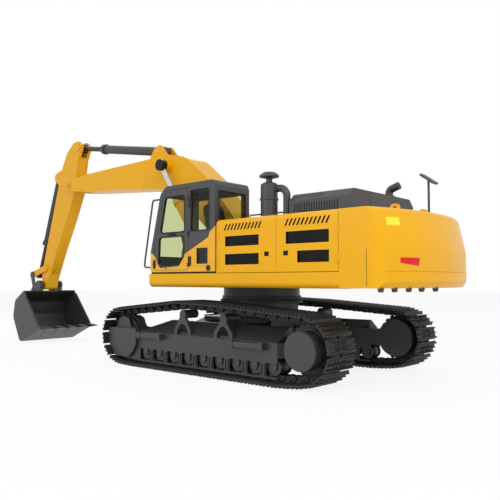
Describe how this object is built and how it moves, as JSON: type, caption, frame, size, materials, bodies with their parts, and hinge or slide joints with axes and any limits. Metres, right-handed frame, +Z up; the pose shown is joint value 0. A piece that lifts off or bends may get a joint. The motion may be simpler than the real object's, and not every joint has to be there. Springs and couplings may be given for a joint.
{
  "type": "crawler excavator",
  "caption": "Large crawler excavator with a side cab, bent boom, arm and bucket resting on the ground, yellow and charcoal, tracks on box frames.",
  "frame": {"origin": "on the ground under the swing axis", "axes": "+X forward along the boom, +Y to the cab side (the machine's left), +Z up"},
  "size_m": [12.0948, 3.484, 5.2665],
  "materials": {
    "yellow_paint": "gloss",
    "charcoal_paint": "satin",
    "dark_iron": "worn",
    "chrome_rod": "polished",
    "exhaust_steel": "heat stained",
    "tinted_glass": "tinted",
    "seat_fabric": "woven",
    "console_plastic": "matte"
  },
  "bodies": {
    "undercarriage": {"carbody": "charcoal_paint", "tow_eyes": "charcoal_paint", "ring_lower": "dark_iron", "track_frame_left": "charcoal_paint", "track_frame_right": "charcoal_paint", "track_left": "dark_iron", "track_right": "dark_iron", "sprockets": "dark_iron", "final_drives": "charcoal_paint", "idlers": "charcoal_paint", "track_rollers": "charcoal_paint", "carrier_rollers": "charcoal_paint"},
    "upperstructure": {"ring_upper": "charcoal_paint", "revolving_frame": "charcoal_paint", "side_decks": "yellow_paint", "counterweight": "yellow_paint", "lifting_eyes": "charcoal_paint", "machinery_housing": "yellow_paint", "engine_block": "dark_iron", "air_cleaner": "charcoal_paint", "rear_mirror": "charcoal_paint", "hydraulic_tank": "yellow_paint", "fuel_tank": "yellow_paint", "tool_box": "yellow_paint", "step_handrails": "charcoal_paint", "cab_shell": "charcoal_paint", "cab_glass": "tinted_glass", "operator_seat": "seat_fabric", "control_consoles": "console_plastic", "cab_handrail": "charcoal_paint", "door_hinges": "charcoal_paint"},
    "cab_door_body": {"cab_door": "charcoal_paint", "cab_door_glass": "tinted_glass"},
    "left_front_door_body": {"left_front_door": "yellow_paint"},
    "left_rear_door_body": {"left_rear_door": "yellow_paint"},
    "right_rear_door_body": {"right_rear_door": "yellow_paint"},
    "engine_hood_body": {"engine_hood": "charcoal_paint", "exhaust_pipe": "exhaust_steel"},
    "boom_body": {"boom": "yellow_paint"},
    "boom_cylinder_barrels_body": {"boom_cylinder_barrels": "yellow_paint"},
    "boom_cylinder_rods_body": {"boom_cylinder_rods": "chrome_rod"},
    "arm_cylinder_barrel_body": {"arm_cylinder_barrel": "charcoal_paint"},
    "arm_cylinder_rod_body": {"arm_cylinder_rod": "chrome_rod"},
    "arm_body": {"arm": "yellow_paint"},
    "bucket_cylinder_barrel_body": {"bucket_cylinder_barrel": "charcoal_paint"},
    "bucket_cylinder_rod_body": {"bucket_cylinder_rod": "chrome_rod"},
    "rocker_body": {"rocker_links": "yellow_paint"},
    "power_link_body": {"power_link": "charcoal_paint"},
    "bucket_body": {"bucket": "charcoal_paint", "bucket_teeth": "dark_iron"}
  },
  "joints": [
    {"name": "swing", "type": "hinge", "parent": "undercarriage", "child": "upperstructure", "pos_m": [0, 0, 1.335], "axis": [0, 0, 1], "continuous": true},
    {"name": "boom_pivot", "type": "hinge", "parent": "upperstructure", "child": "boom_body", "pos_m": [0.17, 0, 2.1], "axis": [0, -1, 0], "range_deg": [-58, 38]},
    {"name": "arm_pivot", "type": "hinge", "parent": "boom_body", "child": "arm_body", "pos_m": [6.37, 0, 4.09], "axis": [0, 1, 0], "range_deg": [-45, 62]},
    {"name": "bucket_pivot", "type": "hinge", "parent": "arm_body", "child": "bucket_body", "pos_m": [7.77, 0, 1.5], "axis": [0, 1, 0], "range_deg": [-107, 68]},
    {"name": "boom_cylinder_pivot", "type": "hinge", "parent": "upperstructure", "child": "boom_cylinder_barrels_body", "pos_m": [0.8, 0, 1.67], "axis": [0, -1, 0], "range_deg": [-63, 42]},
    {"name": "boom_rod_slide", "type": "slide", "parent": "boom_cylinder_barrels_body", "child": "boom_cylinder_rods_body", "axis": [0.5594, 0, 0.8289], "range_m": [-0.73, 0.49]},
    {"name": "arm_cylinder_pivot", "type": "hinge", "parent": "boom_body", "child": "arm_cylinder_barrel_body", "pos_m": [2.93, 0, 4.54], "axis": [0, 1, 0], "range_deg": [-3, 3]},
    {"name": "arm_rod_slide", "type": "slide", "parent": "arm_cylinder_barrel_body", "child": "arm_cylinder_rod_body", "axis": [0.9855, 0, 0.1698], "range_m": [-0.735, 1.01]},
    {"name": "bucket_cylinder_pivot", "type": "hinge", "parent": "arm_body", "child": "bucket_cylinder_barrel_body", "pos_m": [7.3, 0, 4.45], "axis": [0, 1, 0], "range_deg": [-6.3, 4]},
    {"name": "bucket_rod_slide", "type": "slide", "parent": "bucket_cylinder_barrel_body", "child": "bucket_cylinder_rod_body", "axis": [0.3488, 0, -0.9372], "range_m": [-0.73, 0.41]},
    {"name": "rocker_pivot", "type": "hinge", "parent": "arm_body", "child": "rocker_body", "pos_m": [7.67, 0, 1.96], "axis": [0, 1, 0], "range_deg": [-69, 44]},
    {"name": "link_pivot", "type": "hinge", "parent": "bucket_body", "child": "power_link_body", "pos_m": [8.12, 0, 1.306], "axis": [0, 1, 0], "range_deg": [-59, 93]},
    {"name": "cab_door_hinge", "type": "hinge", "parent": "upperstructure", "child": "cab_door_body", "pos_m": [0.451, 1.511, 2.5], "axis": [0, 0, 1], "range_deg": [0, 90]},
    {"name": "left_front_door_hinge", "type": "hinge", "parent": "upperstructure", "child": "left_front_door_body", "pos_m": [-0.302, 1.511, 2.15], "axis": [0, 0, -1], "range_deg": [0, 90]},
    {"name": "left_rear_door_hinge", "type": "hinge", "parent": "upperstructure", "child": "left_rear_door_body", "pos_m": [-2.731, 1.511, 2.15], "axis": [0, 0, 1], "range_deg": [0, 90]},
    {"name": "right_rear_door_hinge", "type": "hinge", "parent": "upperstructure", "child": "right_rear_door_body", "pos_m": [-2.731, -1.511, 2.15], "axis": [0, 0, -1], "range_deg": [0, 90]},
    {"name": "engine_hood_hinge", "type": "hinge", "parent": "upperstructure", "child": "engine_hood_body", "pos_m": [-2.642, 0, 2.674], "axis": [0, -1, 0], "range_deg": [0, 50]}
  ],
  "couplings": [
    {"joint": "boom_cylinder_pivot", "follows": "boom_pivot", "ratio": 1.04},
    {"joint": "boom_rod_slide", "follows": "boom_pivot", "m_per_rad": 0.63},
    {"joint": "arm_cylinder_pivot", "follows": "arm_pivot", "ratio": 0.035},
    {"joint": "arm_rod_slide", "follows": "arm_pivot", "m_per_rad": 0.93},
    {"joint": "bucket_cylinder_pivot", "follows": "bucket_pivot", "ratio": 0.058},
    {"joint": "bucket_rod_slide", "follows": "bucket_pivot", "m_per_rad": 0.342},
    {"joint": "rocker_pivot", "follows": "bucket_pivot", "ratio": 0.64},
    {"joint": "link_pivot", "follows": "bucket_pivot", "ratio": -0.86}
  ]
}
